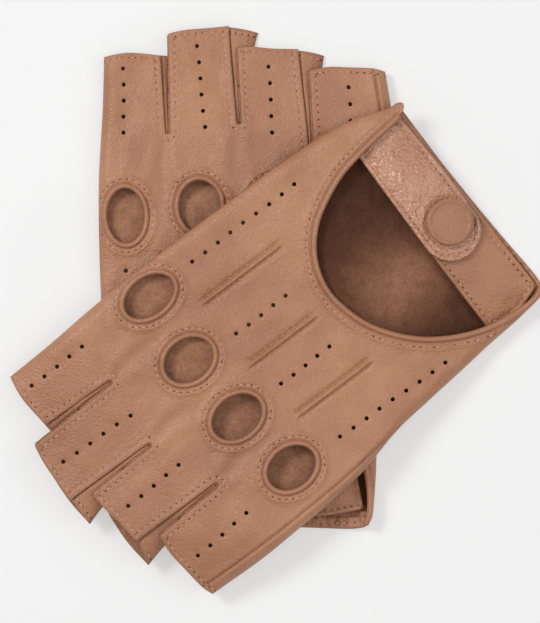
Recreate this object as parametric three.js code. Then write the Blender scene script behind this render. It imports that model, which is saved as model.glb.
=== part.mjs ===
// A pair of fingerless leather driving gloves, lying flat: the right glove on the table with its fingers
// pointing along +Y, and the left glove across it. Both show their backs: four bound knuckle holes, a bound
// opening over the back of the hand, and a strap with a covered snap button that closes the wrist.
// Millimetres, +Z up, origin at the middle of the pair on the table.
//
// Each glove is drawn once, as a left glove in its own frame: +u towards the index finger, +v towards the
// fingertips, w up from the surface that it lies on. The right glove is its mirror image.
import * as THREE from "three";

// ---- Driving dimensions ----------------------------------------------------------------------------------
const LEATHER = 1.0; // glove leather
const STRAP_LEATHER = 0.85; // each of the two layers of strap and tab
const LAYER_GAP = 0.25; // between leather pieces that lie on each other
const CAVITY = 5.2; // room for the hand between palm and back
const FOLD_RADIUS = 9; // how far in from the glove's side the back curves down to the palm
const THUMB_FULLNESS = 0.6; // how far the flat thumb's upper side bulges
const CROWN = 0.7; // how far a binding stands over the back
const MESH_STEP = 7; // largest spacing of the points inside a leather sheet
const EDGE_STEP = 5; // largest spacing of the points along its edge

const PALM_TOP = LEATHER;
const BACK_UNDER = PALM_TOP + CAVITY;
const BACK_TOP = BACK_UNDER + LEATHER;
const THUMB_TOP = 2 * LEATHER + LAYER_GAP + THUMB_FULLNESS;
const THUMB_ROOM = THUMB_TOP + LAYER_GAP; // how far the palm is raised over the folded thumb

const TAN = { color: 0xb08268, roughness: 0.55, metalness: 0 };
const SUEDE = { color: 0x94684f, roughness: 0.95, metalness: 0 };
const WEBBING = { color: 0x8a6550, roughness: 0.9, metalness: 0 };
const BRASS = { color: 0xb8a27a, roughness: 0.35, metalness: 1 };

// Where each glove lies: its origin, the turn of its fingers from +Y, and how much its fingers close up
// and reach out on the little finger's side.
const GLOVES = {
  right: { x: -6.1, y: 8.4, turn: 2, mirrored: true, close: 0.065, reach: 0.055, raised: 0 },
  left: { x: 5.2, y: -13.3, turn: 127, mirrored: false, close: 0, reach: 0, raised: BACK_TOP + CROWN + 0.6 },
};
// The fingers start at v = from and are at their full shift over further on. They close towards u = closeTo,
// and those before u = reachTo reach out.
const FINGER_SHIFT = { from: 40, over: 45, closeTo: 30, reachTo: 10 };
const LOWER_GLOVE = { x: [-60, 37], y: [-75, 98], corner: 14 }; // what the upper glove is draped over
const DRAPE_REACH = 46; // how far past it the upper glove takes to come down to the table
const SNAP_BUMP = { height: 1.3, reach: 26 }; // the lower glove's snap under the upper one's little finger

// ---- Outline of the glove, as [u, v] ----------------------------------------------------------------------
const INDEX_SIDE = [[41.5, -82.2], [43.2, -83.6], [44.6, -82.6], [45, -79], [48.3, -70], [51, -58], [52.2, -42],
  [52.5, -20], [52.5, 18], [51.8, 42], [50.4, 64], [49.8, 81.6]];
const PINKY_SIDE = [[-52.3, 70.8], [-52.7, 50], [-52, 34], [-51.2, 19], [-49.8, 5], [-48.2, -2], [-45.2, -15],
  [-43.7, -30], [-42.4, -45], [-41.2, -57], [-40.4, -68], [-39.6, -76]];
const SEAM_FOOT = -10.4; // where the seam runs out at the glove's side
const SEAM_GAP = 0.15; // from the seam's middle to each leather's edge
const SEAM = [[-48.2, 71.8], [-48.7, 50], [-48, 20], [-47, 5], [-45.7, -6], [-44.9, -12]]; // back to side wrap
const WRIST = [[-38.4, -79.6], [-36, -82.6], [-31, -84.5], [-18, -83.9], [0, -83.2], [20, -82.4], [38, -81.4]];
const APERTURE = [[-37.2, -79], [-36.6, -68], [-35, -60], [-31.4, -51], [-25.8, -42], [-19, -35], [-10, -28.9],
  [-1, -25.8], [7, -24.8], [15, -26.4], [22, -30.2], [28, -36.2], [32.7, -44.5], [35.7, -52], [37.2, -59],
  [38.5, -69], [39.6, -80]]; // inner edge of the opening, from the little finger's side
const RIM = 2.3; // width of the binding round it

// Tips run from the little finger's side. palm gives the palm side's two edges at the tip: it leans over to
// the little finger's side. palmTip is how far it reaches on the left glove and on the right.
const FINGERS = {
  pinky: { tip: [[-48.2, 71.9], [-40, 72.9], [-32, 73.6], [-24.9, 73]], palm: [-52.3, -32.3], palmTip: [72.6, 72.6] },
  ring: { tip: [[-21.8, 80.3], [-12, 81.3], [-5, 82.5], [0.6, 82.8]], palm: [-31, -8.9], palmTip: [82.9, 79.2] },
  middle: { tip: [[3.2, 90.4], [12, 90.2], [20, 89.8], [25.8, 88.8]], palm: [-7.5, 15.2], palmTip: [90.2, 88.6] },
  index: { tip: [[28.9, 81.3], [36, 82.3], [42, 82.6], [49.8, 81.6]], palm: [27, 49.8], palmTip: [81.8, 81.8] },
};
// Slits between the fingers: [finger on the little finger's side, its neighbour, the slit's end].
const SLITS = [
  ["pinky", "ring", [-22.7, 46]],
  ["ring", "middle", [1.9, 56.3]],
  ["middle", "index", [27.3, 54]],
];
const SLIT_END = 0.8; // radius of a slit's end
const FOURCHETTE = { leather: 0.8, behind: 0.4, short: 1.5 }; // behind the back's edge, and short of the fingertips
const KNUCKLES = {
  index: { at: [42.9, 26.2], half: [6.3, 9.4] },
  middle: { at: [17.2, 28.5], half: [7.1, 8.9] },
  ring: { at: [-8.3, 27], half: [6.9, 9.2] },
  pinky: { at: [-33.5, 22.5], half: [6.8, 8.8] },
};
const KNUCKLE_RIM = 2; // width of the binding round a knuckle hole
const BINDING = { foot: -0.2, outer: LEATHER + 0.3, inner: LEATHER + 0.2 }; // levels over the back's underside
const KNUCKLE_POINTS = 18;

// ---- Wrist: strap, tab and snap ---------------------------------------------------------------------------
const SNAP_AT = [1, -72];
// rise: where it starts to rise from its root, and over what length.
const STRAP = { top: -59.8, bottom: -81, tip: -12.2, root: [[37, -60], [38.9, -79.6]], rise: [33, 17] };
const TAB = { top: -61, bottom: -82.4, left: -37.4, right: 12, rise: [-37, 10] };
const BAND = 2 * STRAP_LEATHER + LAYER_GAP; // strap and tab are each two layers
const TAB_UNDER = 2.3; // underside of the tab's lining, under the snap
const TAB_TOP = TAB_UNDER + BAND;
const STRAP_ROOT_UNDER = 2.5; // underside of the strap's lining at its root
const STRAP_UNDER = TAB_TOP + 0.6; // and over the tab
const STRAP_TOP = STRAP_UNDER + BAND;
const CAP = { radius: 8.2, height: 2.3, edge: 1.3, post: 1.5 };
const SOCKET = { bore: 2.6, radius: 4.2, height: 0.8 };
const STUD = { base: 3.6, plate: 0.4, neck: 1.4, bead: 1.8, crown: 1.5 };
const RIVET = { head: 3.4, plate: 0.4, post: 1.2 };
const WRIST_HEM = { across: [-30, 34], along: [-81, -77.5], thickness: 0.4 };
const WRIST_ELASTIC = { across: [-24, 26], along: [-67.6, -63], thickness: 0.5 };

// ---- Thumb, folded under the palm -------------------------------------------------------------------------
const THUMB = { pivot: [37, -22], along: 117, length: 43, base: 15, mouth: 12.5 }; // along: degrees from +u
// Where the palm starts to rise over the thumb, and how far it takes: from the little finger's side, from the
// wrist and from the fingers.
const THUMB_RISE = { across: [-9, 14], wrist: [-56, 16], fingers: [46, 20] };

const mix = (a, b, t) => a + (b - a) * t;
const clamp01 = (t) => Math.min(1, Math.max(0, t));
const smooth = (t) => clamp01(t) ** 2 * (3 - 2 * clamp01(t));
const radians = THREE.MathUtils.degToRad;

// A smooth curve through the guide points, as points about step apart.
function curve(guides, step = EDGE_STEP) {
  const line = new THREE.CatmullRomCurve3(guides.map(([u, v]) => new THREE.Vector3(u, v, 0)), false, "centripetal");
  const count = Math.max(1, Math.round(line.getLength() / step));
  return line.getSpacedPoints(count).map((p) => [p.x, p.y]);
}

// The guide curve's u at a given v, for the glove's two sides.
function sideAt(guides, v) {
  const rising = guides[0][1] < guides[guides.length - 1][1] ? guides : [...guides].reverse();
  let i = rising.findIndex((p) => p[1] > v);
  i = i < 0 ? rising.length - 1 : Math.max(1, i);
  const [[u0, v0], [u1, v1]] = [rising[i - 1], rising[i]];
  return mix(u0, u1, clamp01((v - v0) / (v1 - v0)));
}
const INDEX_FOLD = INDEX_SIDE.slice(2); // from the wrist's corner up

function ellipse([u, v], [halfU, halfV], count) {
  return Array.from({ length: count }, (_, i) => {
    const a = (2 * Math.PI * i) / count;
    return [u + halfU * Math.cos(a), v + halfV * Math.sin(a)];
  });
}

// An open curve moved sideways, to its left where the distance is positive.
function offset(points, distance) {
  return points.map(([u, v], i) => {
    const [a, b] = [points[Math.max(0, i - 1)], points[Math.min(points.length - 1, i + 1)]];
    const length = Math.hypot(b[0] - a[0], b[1] - a[1]);
    return [u - (distance * (b[1] - a[1])) / length, v + (distance * (b[0] - a[0])) / length];
  });
}

// ---- How a glove lies -------------------------------------------------------------------------------------
// The palm is raised over the thumb that is folded under it.
function thumbRaise(u, v) {
  const { across, wrist, fingers } = THUMB_RISE;
  const overHand = smooth((u - across[0]) / across[1]);
  return THUMB_ROOM * overHand * smooth((v - wrist[0]) / wrist[1]) * smooth((fingers[0] - v) / fingers[1]);
}

// The height of the surface that a glove lies on: the table, or the drape over the lower glove.
function drape(x, y, raised) {
  if (raised === 0) return 0;
  const { x: [left, right], y: [near, far], corner } = LOWER_GLOVE;
  const dx = Math.max(left + corner - x, x - right + corner, 0);
  const dy = Math.max(near + corner - y, y - far + corner, 0);
  const past = Math.hypot(dx, dy) - corner;
  const { x: gloveX, y: gloveY } = GLOVES.right;
  const fromSnap = Math.hypot(x - gloveX + SNAP_AT[0], y - gloveY - SNAP_AT[1]);
  const bump = SNAP_BUMP.height * (1 - smooth((fromSnap - CAP.radius - 2) / SNAP_BUMP.reach));
  return (raised + bump) * (1 - smooth(past / DRAPE_REACH));
}

// Moves a geometry made in the glove's frame to where the glove's leather lies.
function lay(geometry, glove) {
  const turn = radians(glove.turn);
  const [cos, sin] = [Math.cos(turn), Math.sin(turn)];
  const position = geometry.attributes.position;
  for (let i = 0; i < position.count; i++) {
    const [u0, v0, w] = [position.getX(i), position.getY(i), position.getZ(i)];
    const out = clamp01((v0 - FINGER_SHIFT.from) / FINGER_SHIFT.over);
    const u = u0 + glove.close * (FINGER_SHIFT.closeTo - u0) * out;
    const v = v0 + glove.reach * Math.max(0, FINGER_SHIFT.reachTo - u0) * out;
    const side = glove.mirrored ? -u : u;
    const [x, y] = [glove.x + side * cos - v * sin, glove.y + side * sin + v * cos];
    position.setXYZ(i, u, v, w + drape(x, y, glove.raised));
  }
  return geometry;
}

// Underside of the back: it curves down to the palm at both sides of the hand.
function backUnder(u, v) {
  const fromSide = Math.min(sideAt(INDEX_FOLD, v) - u, u - sideAt(PINKY_SIDE, v));
  const t = clamp01(fromSide / FOLD_RADIUS);
  return mix(PALM_TOP + LAYER_GAP + thumbRaise(u, v), BACK_UNDER, Math.sqrt(1 - (1 - t) ** 2));
}

// ---- Leather sheets ---------------------------------------------------------------------------------------
function isInside([u, v], loop) {
  let inside = false;
  loop.forEach(([u0, v0], i) => {
    const [u1, v1] = loop[(i + 1) % loop.length];
    if (v0 > v !== v1 > v && u < u0 + ((v - v0) / (v1 - v0)) * (u1 - u0)) inside = !inside;
  });
  return inside;
}

// Delaunay triangulation of a set of points, by adding them one at a time.
function triangulate(points) {
  const far = 1e4;
  const all = [...points, [-far, -far], [far, -far], [0, far]];
  const circled = (corners) => {
    const [[ax, ay], [bx, by], [cx, cy]] = corners.map((i) => all[i]);
    const d = 2 * (ax * (by - cy) + bx * (cy - ay) + cx * (ay - by));
    const [a2, b2, c2] = [ax * ax + ay * ay, bx * bx + by * by, cx * cx + cy * cy];
    const x = (a2 * (by - cy) + b2 * (cy - ay) + c2 * (ay - by)) / d;
    const y = (a2 * (cx - bx) + b2 * (ax - cx) + c2 * (bx - ax)) / d;
    return { corners, x, y, r2: (ax - x) ** 2 + (ay - y) ** 2 };
  };
  let triangles = [circled([points.length, points.length + 1, points.length + 2])];
  points.forEach(([px, py], index) => {
    const hit = triangles.filter((t) => (px - t.x) ** 2 + (py - t.y) ** 2 < t.r2);
    const edges = new Map();
    for (const { corners: [a, b, c] } of hit)
      for (const [from, to] of [[a, b], [b, c], [c, a]])
        if (!edges.delete(`${to},${from}`)) edges.set(`${from},${to}`, [from, to]);
    triangles = triangles.filter((t) => !hit.includes(t));
    for (const [from, to] of edges.values()) triangles.push(circled([from, to, index]));
  });
  return triangles.map((t) => t.corners).filter((t) => t.every((i) => i < points.length));
}

// Points spread evenly over the inside of a sheet, clear of its edges.
function insidePoints(loops, step) {
  const edge = loops.flat();
  const [us, vs] = [loops[0].map((p) => p[0]), loops[0].map((p) => p[1])];
  const found = [];
  let row = 0;
  for (let v = Math.min(...vs); v < Math.max(...vs); v += step * 0.866, row++)
    for (let u = Math.min(...us) + (row % 2) * step * 0.5; u < Math.max(...us); u += step) {
      const p = [u + 0.03 * Math.sin(7 * v), v + 0.03 * Math.sin(5 * u)]; // never four points on one circle
      const clear = edge.every(([a, b]) => Math.hypot(a - p[0], b - p[1]) > 0.62 * step);
      if (clear && isInside(p, loops[0]) && !loops.slice(1).some((hole) => isInside(p, hole))) found.push(p);
    }
  return found;
}

// A closed sheet of leather over an outline with holes. under(u, v) is its underside.
function sheet({ outline, holes = [], under, thickness = LEATHER, step = MESH_STEP }) {
  let loops = [outline, ...holes];
  const inner = insidePoints(loops, step);
  let [points, triangles, whole] = [[], [], false];
  while (!whole) {
    points = [...loops.flat(), ...inner];
    triangles = triangulate(points);
    const known = new Set(triangles.flatMap(([a, b, c]) => [`${a},${b}`, `${b},${c}`, `${c},${a}`]));
    const joined = (a, b) => known.has(`${a},${b}`) || known.has(`${b},${a}`);
    let start = 0;
    whole = true;
    // An edge of the outline that the triangles cross is halved, until they follow the outline all round.
    loops = loops.map((loop) => {
      const first = start;
      start += loop.length;
      return loop.flatMap((p, i) => {
        const next = (i + 1) % loop.length;
        if (joined(first + i, first + next)) return [p];
        whole = false;
        return [p, [(p[0] + loop[next][0]) / 2, (p[1] + loop[next][1]) / 2]];
      });
    });
  }
  const kept = triangles.filter((t) => {
    const centre = [0, 1].map((k) => (points[t[0]][k] + points[t[1]][k] + points[t[2]][k]) / 3);
    return isInside(centre, loops[0]) && !loops.slice(1).some((hole) => isInside(centre, hole));
  });
  const edges = new Map();
  const index = [];
  const n = points.length;
  for (const [a, b, c] of kept) {
    const turnsLeft =
      (points[b][0] - points[a][0]) * (points[c][1] - points[a][1]) >
      (points[b][1] - points[a][1]) * (points[c][0] - points[a][0]);
    const [p, q, r] = turnsLeft ? [a, b, c] : [a, c, b];
    index.push(p + n, q + n, r + n, p, r, q);
    for (const [from, to] of [[p, q], [q, r], [r, p]])
      if (!edges.delete(`${to},${from}`)) edges.set(`${from},${to}`, [from, to]);
  }
  for (const [from, to] of edges.values()) index.push(from, to, to + n, from, to + n, from + n);
  const heights = points.map(([u, v]) => under(u, v));
  const low = points.map(([u, v], i) => [u, v, heights[i]]);
  const high = points.map(([u, v], i) => [u, v, heights[i] + thickness]);
  return solid([...low, ...high], index);
}

function solid(vertices, index) {
  const geometry = new THREE.BufferGeometry();
  geometry.setAttribute("position", new THREE.Float32BufferAttribute(vertices.flat(), 3));
  geometry.setIndex(index);
  return geometry;
}

// A strip made by joining equal sections, each a list of [u, v, w] corners, round a loop or end to end.
function strip(sections, isLoop) {
  const corners = sections[0].length;
  const index = [];
  const last = isLoop ? sections.length : sections.length - 1;
  for (let i = 0; i < last; i++)
    for (let k = 0; k < corners; k++) {
      const [a, b] = [i * corners + k, i * corners + ((k + 1) % corners)];
      const [c, d] = [a, b].map((x) => (x + corners) % (sections.length * corners));
      // The two sides of a strip are split along matching diagonals, so a twisted strip keeps its thickness.
      if (2 * k < corners) index.push(a, c, b, b, c, d);
      else index.push(a, c, d, a, d, b);
    }
  if (!isLoop)
    for (let k = 1; k < corners - 1; k++) {
      const end = (sections.length - 1) * corners;
      index.push(0, k, k + 1, end, end + k + 1, end + k);
    }
  const geometry = solid(sections.flat(), index);
  return signedVolume(geometry) < 0 ? turnedInsideOut(geometry) : geometry;
}

function signedVolume(geometry) {
  const [a, b, c] = [new THREE.Vector3(), new THREE.Vector3(), new THREE.Vector3()];
  let volume = 0;
  for (let i = 0; i < geometry.index.count; i += 3) {
    [a, b, c].forEach((p, k) => p.fromBufferAttribute(geometry.attributes.position, geometry.index.getX(i + k)));
    volume += a.dot(b.cross(c)) / 6;
  }
  return volume;
}

function turnedInsideOut(geometry) {
  const index = geometry.index.array;
  for (let i = 0; i < index.length; i += 3) [index[i + 1], index[i + 2]] = [index[i + 2], index[i + 1]];
  return geometry;
}

// ---- The glove's parts ------------------------------------------------------------------------------------
const slitSides = (finger, neighbour) => [FINGERS[finger].tip.at(-1), FINGERS[neighbour].tip[0]];

// The back's slit: down the first finger's side, round the slit's end and up its neighbour's side.
function slit([finger, neighbour, end]) {
  const [a, b] = slitSides(finger, neighbour);
  const left = [end[0] - SLIT_END, end[1] + SLIT_END];
  const right = [end[0] + SLIT_END, end[1] + SLIT_END];
  return [...curve([a, left]).slice(1), [end[0], end[1]], ...curve([right, b]).slice(0, -1)];
}

// The outer edge of the binding round the opening, where the back panel ends.
const apertureEdge = () => offset(curve(APERTURE, 5.5), RIM);

function backPanel() {
  const tips = Object.values(FINGERS).map((finger) => curve(finger.tip, 6));
  const fingertips = tips.flatMap((tip, i) => (i < 3 ? [...tip, ...slit(SLITS[i])] : tip));
  const indexSide = curve(INDEX_SIDE, 6).reverse().slice(1);
  const pinkySide = curve(PINKY_SIDE.filter(([, v]) => v < -14 && v > -72), 6).reverse();
  const seam = curve(SEAM, 6).slice(1).map(([u, v]) => [u + SEAM_GAP, v]).reverse();
  const edge = apertureEdge().filter(([u, v]) => u > 0 || v > -68);
  const outline = [...pinkySide, ...seam, ...fingertips, ...indexSide, ...edge.reverse()];
  const holes = Object.values(KNUCKLES).map(({ at, half }) =>
    ellipse(at, half.map((r) => r + KNUCKLE_RIM + LAYER_GAP), KNUCKLE_POINTS),
  );
  return sheet({ outline, holes, under: backUnder });
}

// The palm leather comes round the little finger's side and is sewn to the back along the seam.
function sideWrap() {
  const outer = curve(PINKY_SIDE.filter(([, v]) => v > SEAM_FOOT), 6);
  const inner = curve(SEAM, 6).map(([u, v]) => [u - SEAM_GAP, Math.max(v, SEAM_FOOT)]);
  return sheet({ outline: [...outer, ...inner.reverse()], under: backUnder });
}

function palmFinger({ palm: [left, right], palmTip }, mirrored) {
  const tip = palmTip[mirrored ? 1 : 0];
  return curve([[left, tip - 0.6], [mix(left, right, 0.5), tip], [right, tip - 0.6]], 7);
}

function palmPanel(mirrored) {
  const indexSide = curve(INDEX_SIDE.slice(0, -1), 6).reverse();
  const pinkySide = curve([...PINKY_SIDE.slice(1), ...WRIST], 6).reverse();
  const fingertips = Object.values(FINGERS).flatMap((finger, i) => {
    const slitEnd = i < 3 ? [SLITS[i][2]] : [];
    return [...palmFinger(finger, mirrored), ...slitEnd];
  });
  return sheet({ outline: [...pinkySide, ...fingertips, ...indexSide.slice(0, -1)], under: thumbRaise });
}

// A fourchette: the strip that walls both sides of the slit between two fingers, from back to palm.
function fourchette([finger, neighbour, end]) {
  const { leather, behind, short } = FOURCHETTE;
  const [a, b] = slitSides(finger, neighbour);
  const [aPalm, bPalm] = [FINGERS[finger].palm[1], FINGERS[neighbour].palm[0]];
  const wall = ([u, v], palmU, sign) =>
    [1, 0.75, 0.5, 0.25, 0].map((t) => {
      const along = mix(end[1] + short, v - short, t);
      const top = mix(end[0] + sign * SLIT_END, u, t) + sign * behind;
      const low = mix(end[0] + sign * SLIT_END, palmU, t) + sign * behind;
      return { top: [top, along], low: [low, along], into: [sign, 0] };
    });
  const round = [[-0.8, -0.6], [0, -1], [0.8, -0.6]].map(([du, dv]) => {
    const at = [end[0] + 1.3 * du, end[1] + 0.6 + 1.1 * dv];
    return { top: at, low: at, into: [du, dv] };
  });
  const stations = [...wall(a, aPalm, -1), ...round, ...wall(b, bPalm, 1).reverse()];
  const [under, over] = [PALM_TOP + LAYER_GAP, BACK_UNDER - LAYER_GAP];
  return strip(
    stations.map(({ top, low, into }) => {
      const ceiling = Math.min(over, backUnder(...top) - LAYER_GAP);
      return [
        [...low, under],
        [low[0] + leather * into[0], low[1] + leather * into[1], under],
        [top[0] + leather * into[0], top[1] + leather * into[1], ceiling],
        [...top, ceiling],
      ];
    }),
    false,
  );
}

// A binding: a rounded rim that follows the back's edge. The path runs round its inner edge.
function binding(path, width, isLoop) {
  const rows = [0, 0.35, 1].map((t) => offset(isLoop ? [path.at(-1), ...path, path[0]] : path, width * t));
  const loops = rows.map((row) => (isLoop ? row.slice(1, -1) : row));
  return strip(
    loops[0].map((_, i) => {
      const [inner, crown, outer] = loops.map((row) => row[i]);
      return [
        [...inner, backUnder(...inner) + BINDING.foot],
        [...outer, backUnder(...outer) + BINDING.foot],
        [...outer, backUnder(...outer) + BINDING.outer],
        [...crown, backUnder(...crown) + LEATHER + CROWN],
        [...inner, backUnder(...inner) + BINDING.inner],
      ];
    }),
    isLoop,
  );
}

const knuckleBinding = ({ at, half }) => binding(ellipse(at, half, KNUCKLE_POINTS).reverse(), KNUCKLE_RIM, true);
const apertureBinding = () => binding(curve(APERTURE, 5.5), RIM - LAYER_GAP, false);

// The strap: straight along the wrist, with a round tip under the snap.
function strapOutline() {
  const { top, bottom, tip, root: [rootTop, rootBottom] } = STRAP;
  const half = (top - bottom) / 2;
  const round = Array.from({ length: 9 }, (_, i) => {
    const a = Math.PI * (0.5 + i / 8);
    return [tip + half + half * Math.cos(a), (top + bottom) / 2 + half * Math.sin(a)];
  });
  return [...curve([rootTop, round[0]]), ...round.slice(1, -1), ...curve([round[8], rootBottom])];
}
const strapUnder = (layer) => (u) =>
  layer + mix(STRAP_ROOT_UNDER, STRAP_UNDER, smooth((STRAP.rise[0] - u) / STRAP.rise[1]));
const snapHole = (radius) => ellipse(SNAP_AT, [radius, radius], 12);
const bandLayer = (outline, radius, under) =>
  sheet({ outline, holes: [snapHole(radius)], under, thickness: STRAP_LEATHER });

// The sewn-in end of the strap, under the edge of the back.
function strapRoot() {
  const [a, b] = STRAP.root;
  const outline = [[a[0] + 0.3, a[1]], [42.6, a[1] - 1], [41.4, b[1] + 3], [b[0] + 0.3, b[1]]];
  return sheet({ outline, under: () => STRAP_ROOT_UNDER, thickness: BAND, step: 6 });
}

function tabOutline() {
  const { top, bottom, left, right } = TAB;
  const foot = [left + 3.4, bottom - 0.6];
  return [...curve([[right, top + 1], [-10, top + 0.8], [left + 1, top]]), ...curve([[left, -72], foot]),
    ...curve([[-14, bottom], [right, bottom + 1]])];
}
const tabUnder = (layer) => (u) =>
  layer + mix(PALM_TOP + 0.5, TAB_UNDER, smooth((u - TAB.rise[0]) / TAB.rise[1]));

// A round part turned about the snap's axis, from [radius, w] pairs.
function turned(profile) {
  const lathe = new THREE.LatheGeometry(profile.map(([r, w]) => new THREE.Vector2(r, w)), 20);
  return lathe.rotateX(Math.PI / 2).translate(SNAP_AT[0], SNAP_AT[1], 0);
}

function snapCap() {
  const base = STRAP_TOP + LAYER_GAP;
  const crown = base + CAP.height;
  const edge = Array.from({ length: 4 }, (_, i) => {
    const a = (Math.PI / 6) * i;
    return [CAP.radius + CAP.edge * (Math.cos(a) - 1), crown + CAP.edge * (Math.sin(a) - 1)];
  });
  const foot = base - 1;
  return turned([[0, foot], [CAP.post, foot], [CAP.post, base], [CAP.radius - 0.6, base], ...edge, [0, crown]]);
}

function snapSocket() {
  const { bore, radius, height } = SOCKET;
  const low = STRAP_UNDER - 0.1;
  return turned([[bore, low], [radius, low], [radius, low + height], [bore, low + height], [bore, low]]);
}

function snapStud() {
  const { base, plate, neck, bead, crown } = STUD;
  const low = TAB_TOP + 0.1;
  const high = STRAP_UNDER + 0.6;
  return turned([[0, low], [base, low], [base, low + plate], [neck, low + plate], [neck, high - 0.5],
    [bead, high - 0.3], [crown, high], [0, high]]);
}

function studRivet() {
  const { head, plate, post } = RIVET;
  const low = TAB_UNDER - 0.6;
  return turned([[0, low], [head, low], [head, low + plate], [post, low + plate], [post, TAB_TOP], [0, TAB_TOP]]);
}

// A strip on the inside of the palm, along the wrist.
function wristStrip({ across: [from, to], along: [low, high], thickness }) {
  const outline = [...curve([[from, low], [to, low]], 8), ...curve([[to, high], [from, high]], 8)];
  return sheet({ outline, under: () => PALM_TOP + 0.15, thickness, step: 6 });
}

// The thumb's outline: a stall with a round base at the pivot and an open mouth.
function thumbOutline() {
  const { pivot, along, length, base, mouth } = THUMB;
  const a = radians(along);
  const [cos, sin] = [Math.cos(a), Math.sin(a)];
  const place = ([s, t]) => [pivot[0] + s * cos - t * sin, pivot[1] + s * sin + t * cos];
  const guides = [[length, -mouth], [length * 0.55, -mouth - 1.4], [8, -base], [-6, -base * 0.8], [-12, 0],
    [-6, base * 0.8], [8, base], [length * 0.55, mouth + 1.4], [length, mouth]];
  return [...curve(guides), [length + 0.8, 6], [length + 1, 0], [length + 0.8, -6]].map(place);
}

function thumbFullness(u, v) {
  const outline = thumbOutline();
  const near = Math.min(...outline.slice(0, -3).map(([a, b]) => Math.hypot(a - u, b - v)));
  const t = clamp01(near / 8);
  return LEATHER + LAYER_GAP + THUMB_FULLNESS * Math.sqrt(1 - (1 - t) ** 2);
}

// ---- Assembly ---------------------------------------------------------------------------------------------
function buildGlove(side) {
  const glove = GLOVES[side];
  const group = new THREE.Group();
  group.position.set(glove.x, glove.y, 0);
  group.rotation.z = radians(glove.turn);
  group.scale.x = glove.mirrored ? -1 : 1;
  const add = (name, geometry, finish) => {
    const mesh = new THREE.Mesh(lay(geometry, glove), new THREE.MeshStandardMaterial(finish));
    mesh.name = `${side}_${name}`;
    group.add(mesh);
  };

  add("back_panel", backPanel(), TAN);
  add("palm_panel", palmPanel(glove.mirrored), TAN);
  add("side_wrap", sideWrap(), TAN);
  for (const gap of SLITS) add(`fourchette_${gap[0]}_${gap[1]}`, fourchette(gap), TAN);
  for (const [finger, hole] of Object.entries(KNUCKLES)) add(`knuckle_binding_${finger}`, knuckleBinding(hole), TAN);
  add("opening_binding", apertureBinding(), TAN);

  add("wrist_hem", wristStrip(WRIST_HEM), TAN);
  add("wrist_elastic", wristStrip(WRIST_ELASTIC), WEBBING);
  add("tab_lining", bandLayer(tabOutline(), 1.6, tabUnder(0)), SUEDE);
  add("tab_face", bandLayer(tabOutline(), 1.6, tabUnder(STRAP_LEATHER + LAYER_GAP)), TAN);
  add("snap_stud", snapStud(), BRASS);
  add("stud_rivet", studRivet(), BRASS);

  add("strap_root", strapRoot(), TAN);
  add("strap_lining", bandLayer(strapOutline(), 4.6, strapUnder(0)), SUEDE);
  add("strap_face", bandLayer(strapOutline(), 1.9, strapUnder(STRAP_LEATHER + LAYER_GAP)), TAN);
  add("snap_socket", snapSocket(), BRASS);
  add("snap_cap", snapCap(), TAN);

  add("thumb_lower", sheet({ outline: thumbOutline(), under: () => 0 }), TAN);
  add("thumb_upper", sheet({ outline: thumbOutline(), under: thumbFullness }), TAN);
  return group;
}

const pair = new THREE.Group();
pair.add(buildGlove("right"), buildGlove("left"));

// The origin is the middle of the pair's footprint, on the table.
const box = new THREE.Box3().setFromObject(pair, true);
const middle = box.getCenter(new THREE.Vector3());
for (const glove of pair.children) glove.position.sub(new THREE.Vector3(middle.x, middle.y, box.min.z));

export default pair;
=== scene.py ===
"""A pair of fingerless leather driving gloves lying crossed: leather, bindings, stitching, snaps and light.

Each glove is drawn once, as a left glove in its own frame in millimetres: u towards the index finger,
v towards the fingertips, w up from the surface that it lies on. The right glove is its mirror image.
Glove.place() turns that into the shared frame, in metres.
"""

import math

import bpy
import numpy as np
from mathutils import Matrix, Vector, noise
from mathutils.geometry import delaunay_2d_cdt


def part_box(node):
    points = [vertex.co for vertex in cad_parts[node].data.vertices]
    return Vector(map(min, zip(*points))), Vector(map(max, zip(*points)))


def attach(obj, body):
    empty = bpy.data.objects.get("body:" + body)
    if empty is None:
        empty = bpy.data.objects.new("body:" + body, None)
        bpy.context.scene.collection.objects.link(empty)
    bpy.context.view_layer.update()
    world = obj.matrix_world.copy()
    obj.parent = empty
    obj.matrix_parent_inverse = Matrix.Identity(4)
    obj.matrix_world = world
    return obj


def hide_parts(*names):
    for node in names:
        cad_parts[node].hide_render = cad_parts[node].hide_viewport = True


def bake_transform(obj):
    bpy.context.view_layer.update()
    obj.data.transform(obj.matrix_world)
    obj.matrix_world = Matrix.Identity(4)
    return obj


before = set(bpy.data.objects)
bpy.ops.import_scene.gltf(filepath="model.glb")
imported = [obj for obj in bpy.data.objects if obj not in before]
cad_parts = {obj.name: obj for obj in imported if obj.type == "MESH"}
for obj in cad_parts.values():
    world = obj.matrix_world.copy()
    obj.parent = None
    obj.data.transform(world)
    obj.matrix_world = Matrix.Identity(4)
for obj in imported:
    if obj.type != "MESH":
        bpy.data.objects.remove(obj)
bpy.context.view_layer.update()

MM = 0.001  # metres

# ---- Sizes, in millimetres ----
LEATHER = 1.0
BACK = 7.0  # level of the back's outer side
MIDDLE = 3.0  # level of the folded sides, where back meets palm
FOLD = 4.6  # how far in from a folded side the back reaches its full level
FINGER_DROP = 1.6  # how much flatter the finger ends are than the hand
THUMB_ROOM = 3.1  # how far the palm is raised over the folded thumb
UPPER_GLOVE = 8.5  # level of the upper glove's palm where it lies on the lower one
STITCH = {"length": 1.65, "width": 0.74, "height": 0.38, "pitch": 2.4}
NEEDLE = 0.32  # radius of a needle hole
HEM = 2.2  # stitches to the edge of a slit
TIP_HEM = 1.7  # stitches to a fingertip's edge

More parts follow.
